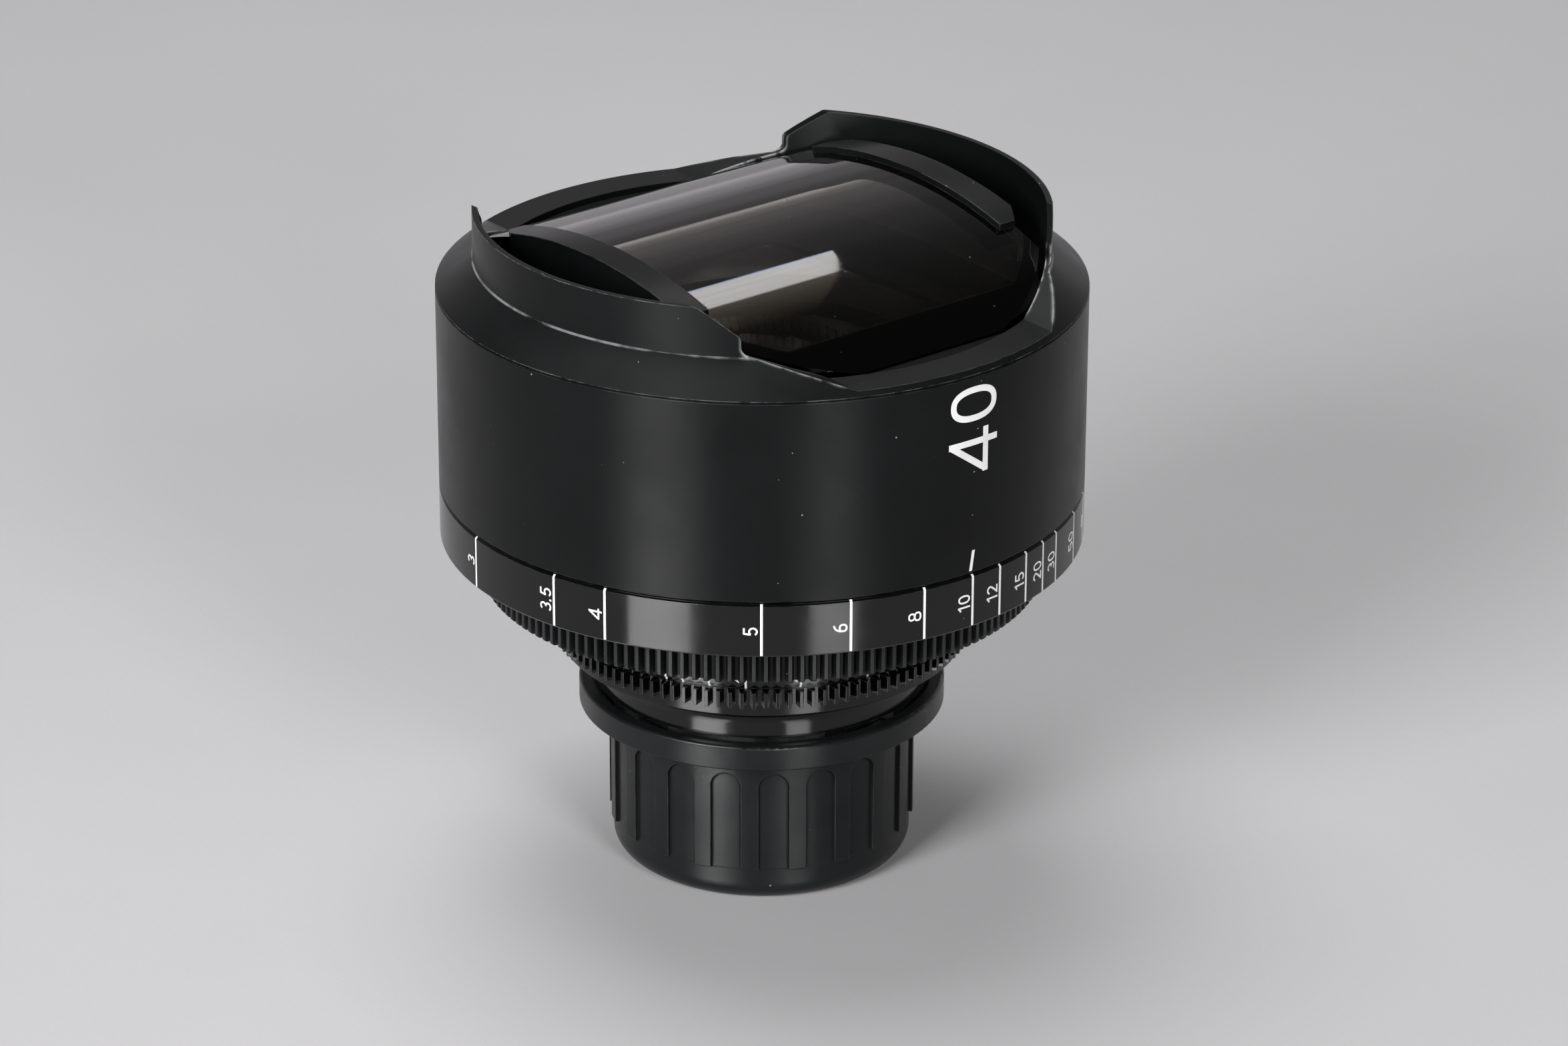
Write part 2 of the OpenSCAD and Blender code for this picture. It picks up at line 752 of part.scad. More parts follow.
module iris_actuator() color(steel) difference() {
    tube(actuator_in, actuator_r, z_actuator, z_actuator + actuator_t);
    translate([0, 0, z_actuator - EPS]) linear_extrude(actuator_t + 2 * EPS) around(blade_n) peg_slot();
    drive_bar(drive_in, actuator_r + EPS);
}

// A blade with its pivot peg down in the base and its drive peg up in the actuator
module iris_blade(i) color(grey) rotate([0, 0, i * 360 / blade_n]) {
    z = z_blade + blade_pitch * (i - 1);
    peg = peg_at(0);
    rotate([0, 0, blade_from]) rotate_extrude(angle = blade_to - blade_from)
        translate([aperture_r, z]) square([blade_out - aperture_r, blade_t]);
    translate([0, 0, z]) linear_extrude(blade_t) {
        translate([pivot_r, 0]) circle(ear_r, $fn = 32);
        translate(peg) circle(ear_r, $fn = 32);
        polygon([[blade_out - ear_lap, -ear_low], [blade_out - ear_lap, ear_high], [pivot_r, ear_r],
            [pivot_r + ear_r, 0], [peg[0] + ear_r, peg[1]], [peg[0] - ear_r, peg[1]]]);
    }
    translate([pivot_r, 0, 0]) disc(peg_r, z_shelf + peg_stop, z + blade_t / 2, $fn = 24);
    translate([peg[0], peg[1], 0])
        disc(peg_r, z + blade_t / 2, z_actuator + actuator_t - peg_stop, $fn = 24);
}

module iris_base() color(black) difference() {
    union() {
        tube(aperture_r, iris_base_r, z_shelf, z_shelf + iris_base_t);
        tube(iris_base_r - iris_rim, iris_base_r, z_shelf, z_cover);
    }
    around(blade_n) translate([pivot_r, 0, 0])
        disc(peg_r + peg_fit, z_shelf - EPS, z_shelf + iris_base_t + EPS, $fn = 24);
    drive_slot();
}

module iris_cover() color(black) {
    tube(aperture_r, iris_base_r, z_cover, z_cover + cover_t);
    tube(iris_base_r - iris_rim, iris_base_r, z_cover, z_core);
}

// Rear barrel with the glossy neck
module rear_barrel() color(black) difference() {
    rotate_extrude() difference() {
        translate([neck_hole_r, z_neck]) square([land_r + land_edge - neck_hole_r, z_core - z_neck]);
        translate([0, z_neck + neck_base_t]) square([rear_bore, z_core]);
        translate([0, z_shelf]) square([bay_r, z_core]);
        translate([land_r, z_land]) square([2 * land_edge, z_core]);
        neck_hollow();
    }
    drive_slot();
    core_screw_set(screw_fit);
    mount_screw_set(screw_fit);
}

// The neck's hollow flank, a quarter round under the iris land
module neck_hollow() {
    flare = land_r + land_edge - neck_r;
    translate([neck_r + flare, z_land - flare]) circle(flare);
    translate([neck_r, z_neck - EPS]) square([2 * flare, z_land - z_neck - flare + EPS]);
}

module rear_cell() color(black) difference() {
    disc(rear_bore - seat_fit, z_rear_cell, z_rear_cell + rear_cell_h);
    disc(rear_lens_r - rear_lip, z_rear_cell - EPS, z_rear_lens + EPS);
    disc(rear_lens_r, z_rear_lens, z_shelf + EPS);
}

module rear_crown() color(glass)
    element(rear_lens_r, z_rear_lens, rear_split, rear_bow, -rear_hollow);

module rear_flint() color(glass)
    element(rear_lens_r, rear_split, z_rear_top, -rear_hollow, rear_bow);

module rear_retainer() color(black)
    tube(rear_lens_r - rear_lip, rear_lens_r, z_rear_top, z_rear_cell + rear_cell_h);

// Mount
module mount_shim() color(steel) difference() {
    tube(lug_r - shim_w, lug_r, z_shim, z_neck);
    mount_screw_set(screw_fit);
}

module lens_mount() color(steel) difference() {
    union() {
        disc(lug_r, z_flange, z_shim);
        disc(stub_r, z_flange - stub_h, z_flange + EPS);
    }
    disc(stub_bore, z_flange - stub_h - EPS, z_shim + EPS);
    around(4) rotate([0, 0, -notch_deg / 2]) rotate_extrude(angle = notch_deg)
        translate([lug_r - notch_d, z_flange - EPS]) square([2 * notch_d, flange_t + 2 * EPS]);
    rotate([0, 0, 45]) translate([lug_r - index_d, -index_w / 2, z_flange - EPS])
        cube([2 * index_d, index_w, flange_t + 2 * EPS]);
    mount_screw_set(screw_fit);
}

module mount_screw_set(c) {
    z = z_flange + head_sink;
    around(4, 45) translate([mount_screw_r, 0, 0])
        screw(z, z + mount_head_h, z_neck + neck_base_t - tip_stop, mount_head_r, mount_shank_r, c);
}

module mount_screws() color(steel) mount_screw_set(0);

module rear_guard() color(black) difference() {
    union() {
        disc(stub_bore - seat_fit, z_guard + guard_drop, z_guard + guard_h);
        disc(guard_r, z_guard, z_guard + guard_drop + EPS);
    }
    disc(guard_lens_r - guard_lip, z_guard - EPS, z_guard + guard_h);
    disc(guard_lens_r, z_guard_lens, z_guard + guard_h + EPS);
}

module rear_lens() color(glass)
    element(guard_lens_r, z_guard_lens, z_guard_ring, guard_bow, guard_bow);

module guard_retainer() color(black)
    tube(guard_lens_r - guard_lip, guard_lens_r, z_guard_ring, z_guard_ring + retainer_t);

// Rear cap
module cap_profile() {
    difference() {
        union() {
            translate([0, base_round]) square([foot_r, z_lip - base_round]);
            square([foot_r - base_round, base_round + EPS]);
            translate([foot_r - base_round, base_round]) circle(base_round);
            translate([0, flute_low]) square([cap_r, z_lip_low - flute_low]);
            translate([0, z_lip_low + lip_low_round]) square([lip_r, lip_h - lip_low_round - lip_top_round]);
            translate([0, z_lip_low]) square([lip_r - lip_low_round, lip_h / 2]);
            translate([0, z_lip - lip_h / 2]) square([lip_r - lip_top_round, lip_h / 2]);
            translate([lip_r - lip_low_round, z_lip_low + lip_low_round]) circle(lip_low_round);
            translate([lip_r - lip_top_round, z_lip - lip_top_round]) circle(lip_top_round);
        }
        translate([0, cap_floor]) square([cap_bore, BIG]);
        translate([0, cap_seat_h]) square([lug_r + mouth_fit, BIG]);
        translate([0, z_lip - mouth_flare]) polygon([[0, 0], [lug_r + mouth_fit, 0],
            [lug_r + mouth_fit + mouth_flare + EPS, mouth_flare + EPS], [0, mouth_flare + EPS]]);
    }
}

// One flute with a round top, its floor on the cap's core
module flute() difference() {
    union() {
        translate([cap_core_r - EPS, -flute_w / 2, flute_low - EPS])
            cube([flute_d + 3 * EPS, flute_w, z_flute_top - flute_w / 2 - flute_low + EPS]);
        translate([cap_core_r - EPS, 0, z_flute_top - flute_w / 2]) rotate([0, 90, 0])
            cylinder(r = flute_w / 2 + flute_ease, h = flute_d + 3 * EPS);
    }
    rotate([0, 0, 180]) disc(cap_core_r, 0, z_lip);
}

module rear_cap() color([0.13, 0.13, 0.13]) difference() {
    rotate_extrude() cap_profile();
    around(flute_n, flute_at) flute();
}

outer_barrel();
front_hood();
front_cell();
front_glass();
clamp_bar_near();
clamp_bar_far();
clamp_screws();
cell_screws();
aperture_mask();
barrel_screws();
core_tube();
core_screws();
lower_washer();
upper_washer();
taking_cell();
taking_crown();
taking_flint();
taking_retainer();
iris_base();
iris_cover();
rear_barrel();
rear_cell();
rear_crown();
rear_flint();
rear_retainer();
mount_shim();
lens_mount();
mount_screws();
rear_guard();
rear_lens();
guard_retainer();
focus_ring();
focus_gear();
gear_screws();
cam_sleeve();
focus_carriage();
carriage_lens();
carriage_retainer();
follower_pins();
iris_ring();
iris_drive_pin();
iris_actuator();
rear_cap();
for (i = [1:blade_n]) iris_blade(i);
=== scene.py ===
"""Finishes, dial marks and studio for the cinema prime lens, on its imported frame."""
import math

import bpy
import numpy as np
from mathutils import Matrix, Vector


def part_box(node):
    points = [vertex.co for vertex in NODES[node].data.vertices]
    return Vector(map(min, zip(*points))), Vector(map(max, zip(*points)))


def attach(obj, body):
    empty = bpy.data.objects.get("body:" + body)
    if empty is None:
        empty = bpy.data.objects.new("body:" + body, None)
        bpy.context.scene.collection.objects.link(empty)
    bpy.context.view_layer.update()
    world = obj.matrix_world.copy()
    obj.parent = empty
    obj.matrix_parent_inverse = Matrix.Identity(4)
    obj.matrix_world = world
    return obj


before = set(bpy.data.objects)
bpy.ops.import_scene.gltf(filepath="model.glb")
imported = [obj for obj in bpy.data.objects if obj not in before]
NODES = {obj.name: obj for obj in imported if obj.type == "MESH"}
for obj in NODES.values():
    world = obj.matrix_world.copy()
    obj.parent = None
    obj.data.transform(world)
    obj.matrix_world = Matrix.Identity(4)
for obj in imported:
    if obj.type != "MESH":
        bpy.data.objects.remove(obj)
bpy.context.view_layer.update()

MM = 0.001

# Sizes read from the frame, in metres
BARREL_LOW, BARREL_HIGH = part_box("outer_barrel")
DIAL_LOW, DIAL_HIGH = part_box("focus_ring")
GEAR_TIP_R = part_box("focus_gear")[1].x
IRIS_LOW, IRIS_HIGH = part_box("iris_ring")
HOOD_TOP_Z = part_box("front_hood")[1].z
GLASS_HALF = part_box("front_glass")[1].x
BARREL_R = BARREL_HIGH.x
IRIS_TIP_R = IRIS_HIGH.x

# Where the finish changes, and where the hood's painted highlights lie, on the hood, the focus gear and the
# front glass
PETAL_INSET = 8.1 * MM
PETAL_WALL = 1.3 * MM
PETAL_RISE = 10.65 * MM
PETAL_EDGE = 42.2 * MM
PETAL_R = BARREL_R - PETAL_INSET
PETAL_FOOT_Z = HOOD_TOP_Z - PETAL_RISE
HOOD_BORE_R = PETAL_R - PETAL_WALL
RIM_LEVEL = 26.5 * MM
GEAR_LAND = 0.25 * MM
GLASS_BLACK = 0.12 * MM

# The paint film, the figures' breadth, and the bands that carry the marks
PAINT_LIFT = 0.02 * MM
PAINT_SINK = 0.02 * MM
FIGURE_WIDE = 1.1
DIAL_BREAK = 0.5 * MM
IRIS_BAND_R = IRIS_TIP_R - 2.2 * MM
IRIS_GROOVE_R = IRIS_BAND_R - 0.5 * MM
IRIS_GROOVE_LOW = IRIS_LOW.z + 6.4 * MM
IRIS_GROOVE_HIGH = IRIS_LOW.z + 7.1 * MM

# Dial marks: distance in feet and the angle in degrees where each line stands at rest
FOCUS_MARKS = [
    ("3", -98.9), ("3.5", -77.35), ("4", -66.8), ("5", -39.05), ("6", -23.7), ("8", -10.1), ("10", 0.0),
    ("12", 6.5), ("15", 13.7), ("20", 19.2), ("30", 24.2), ("50", 33.5), ("inf", 42.5)]
# Stop marks: the stop and the angle in degrees where each line stands at rest
STOP_MARKS = [("2", -7.85), ("2.8", -28.1), ("4", -43.4), ("5.6", -53.7), ("8", -61.5), ("11", -66.6)]

# Values that the shaders share: a socket kind, the places of a colour mix's sockets, the stretch where
# most of a noise lies, and the rays that round an edge
NUMBER = "NodeSocketFloat"
MIX_MASK, MIX_UNDER, MIX_OVER, MIX_RESULT = 0, 6, 7, 2
NOISE_SPAN = (0.3, 0.7)
BEVEL_RAYS = 6


# Shader helpers
def put(tree, socket, value):
    """Links an input where a socket is given, and sets it where a value is."""
    if isinstance(value, bpy.types.NodeSocket):
        tree.links.new(value, socket)
    else:
        socket.default_value = value


def add(tree, kind, values=None, **settings):
    """One shader node with its settings and its inputs."""
    made = tree.nodes.new(kind)
    for key, value in settings.items():
        setattr(made, key, value)
    for key, value in (values or {}).items():
        put(tree, made.inputs[key], value)
    return made


def calc(tree, operation, a, b=0.0, clamp=False):
    """One operation on one or two numbers."""
    return add(tree, "ShaderNodeMath", {0: a, 1: b}, operation=operation, use_clamp=clamp).outputs[0]


def times(tree, a, b):
    return calc(tree, "MULTIPLY", a, b)


def dot(tree, a, b):
    return add(tree, "ShaderNodeVectorMath", {0: a, 1: b}, operation="DOT_PRODUCT").outputs["Value"]


def stretched(tree, vector, factors):
    """A vector with each of its parts multiplied by its own factor."""
    return add(tree, "ShaderNodeVectorMath", {0: vector, 1: factors}, operation="MULTIPLY").outputs["Vector"]


def ramp(tree, value, low, high, to_low=0.0, to_high=1.0):
    """A smooth step of value from to_low at low to to_high at high."""
    ends = {"Value": value, "From Min": low, "From Max": high, "To Min": to_low, "To Max": to_high}
    return add(tree, "ShaderNodeMapRange", ends, interpolation_type="SMOOTHSTEP").outputs["Result"]


def noise(tree, vector, scale, detail=2.0, roughness=0.5):
    """Fractal noise, as a number."""
    values = {"Vector": vector, "Scale": scale, "Detail": detail, "Roughness": roughness}
    return add(tree, "ShaderNodeTexNoise", values).outputs["Fac"]


def object_place(tree):
    """The shaded point in the coordinates of its piece."""
    return add(tree, "ShaderNodeTexCoord").outputs["Object"]


def axis_place(tree, at):
    """A point's y, its z and its distance from the optical axis."""
    x, y, z = add(tree, "ShaderNodeSeparateXYZ", {0: at}).outputs
    return y, z, calc(tree, "SQRT", calc(tree, "ADD", times(tree, x, x), times(tree, y, y)))


def grey(tone):
    return (tone, tone, tone, 1)


def blend_colour(tree, mask, under, over):
    """The colour under where the mask is none, and the colour over where it is one."""
    values = {MIX_MASK: mask, MIX_UNDER: under, MIX_OVER: over}
    return add(tree, "ShaderNodeMix", values, data_type="RGBA").outputs[MIX_RESULT]


def shades_along(tree, value, stops):
    """The colour that a ramp of (place, colour) stops has at value."""
    made = add(tree, "ShaderNodeValToRGB", {"Fac": value})
    elements = made.color_ramp.elements
    while len(elements) < len(stops):
        elements.new(1.0)
    for element, (place, colour) in zip(elements, stops):
        element.position = place
        element.color = colour
    return made.outputs["Color"]


# Effects that the materials share, each a node group
def effect(name, inputs, outputs):
    """An empty node group, whose inputs (name and default) and outputs (name) are all numbers."""
    tree = bpy.data.node_groups.new(name, "ShaderNodeTree")
    for label, default in inputs.items():
        tree.interface.new_socket(label, in_out="INPUT", socket_type=NUMBER).default_value = default
    for label in outputs:
        tree.interface.new_socket(label, in_out="OUTPUT", socket_type=NUMBER)
    return tree, tree.nodes.new("NodeGroupInput").outputs, tree.nodes.new("NodeGroupOutput").inputs


def make_grain():
    """Blasted and dyed metal: a fine pimple height, and a slow tone that drifts over the piece."""
    slow_share, fine_share = 0.6, 0.4
    tree, given, result = effect("blasted_grain", {"Grain": 3500.0, "Drift": 45.0}, ["Height", "Tone"])
    at = object_place(tree)
    fine = noise(tree, at, given["Grain"], detail=3.0, roughness=0.65)
    slow = noise(tree, at, given["Drift"], detail=4.0, roughness=0.55)
    tone = calc(tree, "ADD", times(tree, slow, slow_share), times(tree, fine, fine_share))
    put(tree, result["Height"], fine)
    put(tree, result["Tone"], tone)
    return tree


def make_turning():
    """Lathe work: fine rings that follow the height and the radius, as a tool leaves them."""
    tree, given, result = effect("turning_marks", {"Pitch": 6000.0}, ["Height"])
    _, z, radius = axis_place(tree, object_place(tree))
    rings = add(tree, "ShaderNodeCombineXYZ", {"X": times(tree, radius, given["Pitch"]),
                                               "Z": times(tree, z, given["Pitch"])})
    put(tree, result["Height"], noise(tree, rings.outputs[0], 1.0))
    return tree


def make_wear_and_glint():
    """Edges, for wear and for painted highlights: where a rounded normal leaves the true one, broken up by
    noise.
    """
    whole_turn, bare_turn = 0.99, 0.88
    whole_spot, bare_spot = 0.38, 0.62
    tree, given, result = effect("edge_wear_and_glint", {"Width": 0.0003, "Breaks": 260.0, "Amount": 1.0}, ["Mask"])
    true = add(tree, "ShaderNodeNewGeometry").outputs["Normal"]
    rounded = add(tree, "ShaderNodeBevel", {"Radius": given["Width"]}, samples=BEVEL_RAYS).outputs["Normal"]
    edge = ramp(tree, dot(tree, true, rounded), whole_turn, bare_turn)
    breaks = noise(tree, object_place(tree), given["Breaks"], detail=5.0, roughness=0.7)
    worn = times(tree, edge, ramp(tree, breaks, whole_spot, bare_spot))
    put(tree, result["Mask"], calc(tree, "MULTIPLY", worn, given["Amount"], clamp=True))
    return tree


def make_dust():
    """Settled dust: one small round speck in some cells of a grid, more of them on faces that look up."""
    smallest, size_span = 0.05, 0.16
    facing_low, facing_high, low_share = -0.2, 0.9, 0.35
    tree, given, result = effect("dust_specks", {"Cells": 1100.0, "Share": 0.01}, ["Mask"])
    cell = add(tree, "ShaderNodeTexVoronoi", {"Vector": object_place(tree), "Scale": given["Cells"]})
    chance, size, _ = add(tree, "ShaderNodeSeparateColor", {0: cell.outputs["Color"]}).outputs
    normal = add(tree, "ShaderNodeNewGeometry").outputs["Normal"]
    facing = add(tree, "ShaderNodeSeparateXYZ", {0: normal}).outputs["Z"]
    share = times(tree, given["Share"], ramp(tree, facing, facing_low, facing_high, low_share, 1.0))
    reach = calc(tree, "ADD", times(tree, size, size_span), smallest)
    speck = calc(tree, "LESS_THAN", cell.outputs["Distance"], reach)
    put(tree, result["Mask"], times(tree, speck, calc(tree, "LESS_THAN", chance, share)))
    return tree


def make_handling():
    """Handling: soft patches where fingers have dulled or polished the finish."""
    tree, given, result = effect("handling_patches", {"Patch": 55.0, "Low": 0.2, "High": 0.4}, ["Roughness"])
    patch = noise(tree, object_place(tree), given["Patch"], detail=6.0, roughness=0.62)
    put(tree, result["Roughness"], ramp(tree, patch, *NOISE_SPAN, given["Low"], given["High"]))
    return tree


def make_crease_shade():
    """Painted shade in inner corners: the share of the sky that a point's own piece hides from it."""
    tree, given, result = effect("crease_shade", {"Reach": 0.0012, "Open": 0.92, "Shut": 0.6}, ["Mask"])
    sky = add(tree, "ShaderNodeAmbientOcclusion", {"Distance": given["Reach"]}, samples=8, only_local=True)
    put(tree, result["Mask"], ramp(tree, sky.outputs["AO"], given["Open"], given["Shut"]))
    return tree


GRAIN = make_grain()
TURNING = make_turning()
WEAR_AND_GLINT = make_wear_and_glint()
DUST = make_dust()
HANDLING = make_handling()
CREASE = make_crease_shade()


# Material helpers
def start(name, **plain):
    """A new material, its tree and its Principled shader, with the plain values set on the shader."""
    made = bpy.data.materials.new(name)
    made.use_nodes = True
    shader = made.node_tree.nodes["Principled BSDF"]
    for label, value in plain.items():
        shader.inputs[label.replace("_", " ")].default_value = value
    return made, made.node_tree, shader


def use(tree, group, **values):
    """Places an effect in a material with its own values; returns its outputs."""
    return add(tree, "ShaderNodeGroup", values, node_tree=group).outputs


def toned(tree, grain, dark, light, span=NOISE_SPAN):
    """A colour that goes from dark to light with the tone of a grain."""
    return blend_colour(tree, ramp(tree, grain["Tone"], *span), dark, light)


def lay(tree, colour, group, over, **values):
    """Lays one more colour over the first, where an effect's mask says."""
    return blend_colour(tree, use(tree, group, **values)["Mask"], colour, over)


def handle(tree, shader, rough):
    """Roughness in handled patches, from the first value to the second."""
    put(tree, shader.inputs["Roughness"], use(tree, HANDLING, Low=rough[0], High=rough[1])["Roughness"])


def bump(tree, shader, height, deep, eased):
    """Fine relief of the given depth, on a surface whose sharp edges are eased by a small radius."""
    rounded = add(tree, "ShaderNodeBevel", {"Radius": eased}, samples=BEVEL_RAYS).outputs["Normal"]
    raised = add(tree, "ShaderNodeBump", {"Height": height, "Distance": deep, "Normal": rounded})
    put(tree, shader.inputs["Normal"], raised.outputs["Normal"])


# Materials
def anodised(name, dark, light, rough, worn, specular=0.18, wear_width=3e-4):
    """Black dyed aluminium with blasted grain, handled patches, bare edges and a little dust."""
    bare, dust = (0.24, 0.24, 0.245, 1), grey(0.32)
    made, tree, shader = start(name, Specular_IOR_Level=specular)
    grain = use(tree, GRAIN)
    colour = toned(tree, grain, dark, light)
    colour = lay(tree, colour, WEAR_AND_GLINT, bare, Width=wear_width, Amount=worn)
    colour = lay(tree, colour, DUST, dust, Share=0.012)
    put(tree, shader.inputs["Base Color"], colour)
    handle(tree, shader, rough)
    bump(tree, shader, grain["Height"], deep=6e-6, eased=3e-4)
    return made, tree, shader, colour


def make_satin():
    """Satin black of the barrel, the clamp bars and the rear guard."""
    dark, light = (0.0024, 0.0028, 0.0029, 1), (0.0042, 0.0048, 0.0050, 1)
    return anodised("satin_black", dark, light, rough=(0.27, 0.35), worn=0.25)[0]


def make_baffle():
    """Dull black of the inner cells and masks: blasted, with hardly any shine."""
    dark, light = (0.0012, 0.0012, 0.0013, 1), (0.0024, 0.0024, 0.0025, 1)
    return anodised("baffle_black", dark, light, rough=(0.6, 0.75), worn=0.1, specular=0.08)[0]


def painted_foot_glint(tree, at, z, radius):
    """A painted highlight: a thin bright line along the petals' foot, broken up by noise."""
    full, none = 0.18 * MM, 0.32 * MM
    whole_spot, broken_spot = 0.36, 0.58
    above = calc(tree, "ABSOLUTE", calc(tree, "SUBTRACT", z, PETAL_FOOT_Z))
    away = calc(tree, "ABSOLUTE", calc(tree, "SUBTRACT", radius, PETAL_R))
    near = ramp(tree, calc(tree, "MAXIMUM", above, away), none, full)
    spots = noise(tree, at, 90.0, detail=4.0, roughness=0.6)
    return times(tree, near, ramp(tree, spots, whole_spot, broken_spot))


def painted_slope_glints(tree, y, radius):
    """Painted highlights on the edges of the slopes between the level rim and the petals, kept off the
    barrel's own edge.
    """
    rim_fade, petal_fade = 3 * MM, 0.6 * MM
    barrel_off, barrel_full = 1.5 * MM, 2.5 * MM
    side = calc(tree, "ABSOLUTE", y)
    past_rim = ramp(tree, side, RIM_LEVEL, RIM_LEVEL + rim_fade)
    before_petal = ramp(tree, side, PETAL_EDGE + petal_fade, PETAL_EDGE - petal_fade)
    inward = ramp(tree, radius, BARREL_R - barrel_off, BARREL_R - barrel_full)
    # The edge mask here lays painted highlights
    worn = use(tree, WEAR_AND_GLINT, Width=1.1e-3, Breaks=170.0, Amount=2.5)["Mask"]
    return times(tree, times(tree, times(tree, past_rim, before_petal), worn), inward)


def make_hood():
    """The hood's satin black: a painted highlight as a thin bright line along the petals' foot, a dull wall
    towards the glass, and painted highlights along the edges of the slopes that run from the level rim up to
    the petals."""
    dark, light = (0.0026, 0.0030, 0.0031, 1), (0.0046, 0.0052, 0.0054, 1)
    # The foot line's colour (rubbed) and the slopes' colour (bare) are painted highlights
    rubbed, bore, bare = (0.17, 0.175, 0.18, 1), (0.0034, 0.0044, 0.0041, 1), (0.30, 0.30, 0.305, 1)
    bore_none, bore_full = HOOD_BORE_R + 0.4 * MM, HOOD_BORE_R + 0.1 * MM
    made, tree, shader, colour = anodised("hood_black", dark, light, rough=(0.28, 0.37), worn=0.8,
                                          wear_width=2.5e-4)
    at = object_place(tree)
    y, z, radius = axis_place(tree, at)
    # Painted highlight along the petals' foot; the bore's own tone; painted highlights on the slope edges
    colour = blend_colour(tree, painted_foot_glint(tree, at, z, radius), colour, rubbed)
    colour = blend_colour(tree, ramp(tree, radius, bore_none, bore_full), colour, bore)
    colour = blend_colour(tree, painted_slope_glints(tree, y, radius), colour, bare)
    put(tree, shader.inputs["Base Color"], colour)
    return made


def make_gloss():
    """Glossy black of the dial, the iris ring and the neck: fine turning rings and wiped patches."""
    dark, light = (0.0010, 0.0012, 0.0013, 1), (0.0022, 0.0024, 0.0026, 1)
    bare, dust = (0.2, 0.2, 0.205, 1), grey(0.3)
    made, tree, shader = start("gloss_black", Specular_IOR_Level=0.45)
    colour = toned(tree, use(tree, GRAIN, Drift=30.0), dark, light)
    colour = lay(tree, colour, WEAR_AND_GLINT, bare, Width=2e-4, Amount=0.35)
    colour = lay(tree, colour, DUST, dust, Share=0.008)
    put(tree, shader.inputs["Base Color"], colour)
    handle(tree, shader, rough=(0.09, 0.17))
    bump(tree, shader, use(tree, TURNING)["Height"], deep=6e-7, eased=2e-4)
    return made


def make_gear():
    """The focus gear's cut teeth: dull flanks, painted shade in the roots, and lands rubbed brighter by the
    drives.
    """
    dark, light = (0.0028, 0.003, 0.0032, 1), (0.0055, 0.0059, 0.0062, 1)
    land_tone, painted_root_shade, dust = (0.030, 0.032, 0.033, 1), grey(0.0008), grey(0.3)
    land_low, land_high = GEAR_TIP_R - GEAR_LAND, GEAR_TIP_R - 0.2 * GEAR_LAND
    tone_low, tone_high, least_rubbed = 0.35, 0.65, 0.35
    cut_rough, rubbed_rough = 0.48, 0.32
    made, tree, shader = start("focus_gear_black", Specular_IOR_Level=0.25)
    grain = use(tree, GRAIN, Grain=2600.0)
    _, _, radius = axis_place(tree, object_place(tree))
    patches = ramp(tree, grain["Tone"], tone_low, tone_high, least_rubbed, 1.0)
    rubbed = times(tree, ramp(tree, radius, land_low, land_high), patches)
    colour = toned(tree, grain, dark, light)
    colour = blend_colour(tree, rubbed, colour, land_tone)
    # Painted shade: near-black in the roots between the teeth, where the crease mask finds them
    colour = lay(tree, colour, CREASE, painted_root_shade, Reach=0.9 * MM)
    colour = lay(tree, colour, DUST, dust, Share=0.012)
    put(tree, shader.inputs["Base Color"], colour)
    put(tree, shader.inputs["Roughness"], ramp(tree, rubbed, 0.0, 1.0, cut_rough, rubbed_rough))
    bump(tree, shader, grain["Height"], deep=4e-6, eased=1.2e-4)
    return made


def make_rubber():
    """Moulded cap: dark grey, fine skin, paler where rubbed, painted shade in its inner corners, some dust.
    """
    dark, light = (0.0040, 0.0048, 0.0051, 1), (0.0072, 0.0083, 0.0087, 1)
    rubbed, painted_crease_shade, dust = (0.04, 0.044, 0.046, 1), grey(0.001), grey(0.2)
    made, tree, shader = start("cap_rubber", Specular_IOR_Level=0.30)
    grain = use(tree, GRAIN, Grain=2200.0, Drift=70.0)
    crease_shade_mask = use(tree, CREASE)["Mask"]
    colour = toned(tree, grain, dark, light)
    colour = lay(tree, colour, WEAR_AND_GLINT, rubbed, Width=4e-4, Amount=0.7)
    # Painted shade: near-black in the inner corners of the flutes and ribs
    colour = blend_colour(tree, crease_shade_mask, colour, painted_crease_shade)
    colour = lay(tree, colour, DUST, dust, Cells=900.0, Share=0.016)
    put(tree, shader.inputs["Base Color"], colour)
    skin = use(tree, HANDLING, Low=0.27, High=0.38)["Roughness"]
    put(tree, shader.inputs["Roughness"], calc(tree, "MAXIMUM", skin, crease_shade_mask))
    bump(tree, shader, grain["Height"], deep=9e-6, eased=3e-4)
    return made


def polished_glass(name, tint, ior):
    """Polished glass: a warm tint, wiped patches, and roughness where dust lies."""
    dust, dust_rough = grey(1), 0.5
    made, tree, shader = start(name, Transmission_Weight=1.0, IOR=ior)
    specks = use(tree, DUST, Cells=800.0, Share=0.012)["Mask"]
    patch = use(tree, HANDLING, Patch=35.0, Low=0.0, High=0.035)["Roughness"]
    put(tree, shader.inputs["Roughness"], calc(tree, "MAXIMUM", patch, times(tree, specks, dust_rough)))
    colour = blend_colour(tree, specks, tint, dust)
    put(tree, shader.inputs["Base Color"], colour)
    return made, tree, shader, colour


def make_front_glass():
    """The front element, blacked where it lies farther from the axis than its flat sides."""
    black = grey(0.002)
    made, tree, shader, colour = polished_glass("front_glass_coated", tint=(0.86, 0.83, 0.76, 1), ior=1.6)
    _, _, radius = axis_place(tree, object_place(tree))
    rim = calc(tree, "GREATER_THAN", radius, GLASS_HALF - GLASS_BLACK)
    put(tree, shader.inputs["Base Color"], blend_colour(tree, rim, colour, black))
    return made


